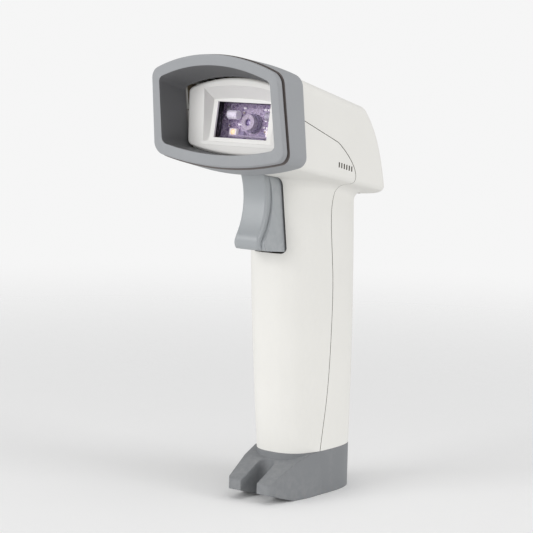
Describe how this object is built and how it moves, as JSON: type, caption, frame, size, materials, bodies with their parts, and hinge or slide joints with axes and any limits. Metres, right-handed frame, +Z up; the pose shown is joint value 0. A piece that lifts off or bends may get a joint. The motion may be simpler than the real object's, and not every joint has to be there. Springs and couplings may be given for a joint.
{
  "type": "handheld barcode scanner",
  "caption": "Gun-shaped handheld scanner: hooded window with imager, tapering head, oval handle, sprung trigger and a slotted rubber foot it stands on.",
  "frame": {"origin": "middle of the handle's section on the flat underside of the foot", "axes": "+Z up, -Y the way the window faces, X across; the part is symmetric left and right but for its electronics"},
  "size_m": [0.0596, 0.0876, 0.1647],
  "materials": {
    "shell": "fine matt moulding texture, warm white",
    "bezel": "fine matt white",
    "hood_rubber": "smooth matt grey",
    "foot_rubber": "smooth matt grey",
    "trigger_grey": "satin grey",
    "window_glass": "clear with a faint violet coating",
    "black_foam": "matt black foam",
    "circuit_board": "violet solder mask",
    "black_plastic": "matt black",
    "lens_glass": "coated glass",
    "chip": "moulded epoxy",
    "lamp": "clear resin over a warm white emitter",
    "aimer_white": "white",
    "socket_white": "cream",
    "ribbon": "amber film",
    "tin_plate": "tinned",
    "antenna_ceramic": "glazed ceramic block",
    "clear_plastic": "milky clear",
    "screw_steel": "zinc plated",
    "pin_steel": "ground steel",
    "plunger_plastic": "red",
    "spring_steel": "drawn wire",
    "lead_insulation": "soft insulation",
    "cell_wrap": "shrink sleeve",
    "contact_brass": "plated"
  },
  "bodies": {
    "root": {"front_housing": "shell", "rear_housing": "shell", "nose_bezel": "bezel", "hood": "hood_rubber", "foot": "foot_rubber", "window": "window_glass", "window_gasket": "black_foam", "engine_board": "circuit_board", "main_board": "circuit_board", "trigger_board": "circuit_board", "lens_barrel": "black_plastic", "imaging_lens": "lens_glass", "image_sensor": "chip", "illumination_lamps": "lamp", "aimer": "aimer_white", "aimer_lens": "lens_glass", "engine_bracket": "black_plastic", "engine_socket": "socket_white", "engine_ribbon": "ribbon", "shield_can": "tin_plate", "decoder_chip": "chip", "ribbon_socket": "socket_white", "radio_antenna": "antenna_ceramic", "status_lamp": "lamp", "status_light_pipe": "clear_plastic", "board_screws": "screw_steel", "engine_screws": "screw_steel", "beeper": "black_plastic", "beeper_pins": "tin_plate", "trigger_pin": "pin_steel", "trigger_bracket": "black_plastic", "trigger_switch": "black_plastic", "trigger_spring": "spring_steel", "switch_leads": "lead_insulation", "battery_cell": "cell_wrap", "battery_cradle": "black_plastic", "battery_contacts": "tin_plate", "battery_leads": "lead_insulation", "foot_screws": "screw_steel", "charging_contacts": "contact_brass", "housing_screw": "screw_steel"},
    "trigger": {"trigger": "trigger_grey"},
    "switch_plunger": {"switch_plunger": "plunger_plastic"}
  },
  "joints": [
    {"name": "trigger_pivot", "type": "hinge", "parent": "root", "child": "trigger", "pos_m": [0, -0.025, 0.1264], "axis": [1, 0, 0], "range_deg": [0, 5], "stiffness_Nm_per_rad": 0.4, "springref_deg": -5.73, "deforming": ["trigger_spring"]},
    {"name": "switch_press", "type": "slide", "parent": "root", "child": "switch_plunger", "axis": [0, 1, 0], "range_m": [0, 0.0008]}
  ],
  "couplings": [
    {"joint": "switch_press", "follows": "trigger_pivot", "m_per_rad": 0.0074}
  ]
}
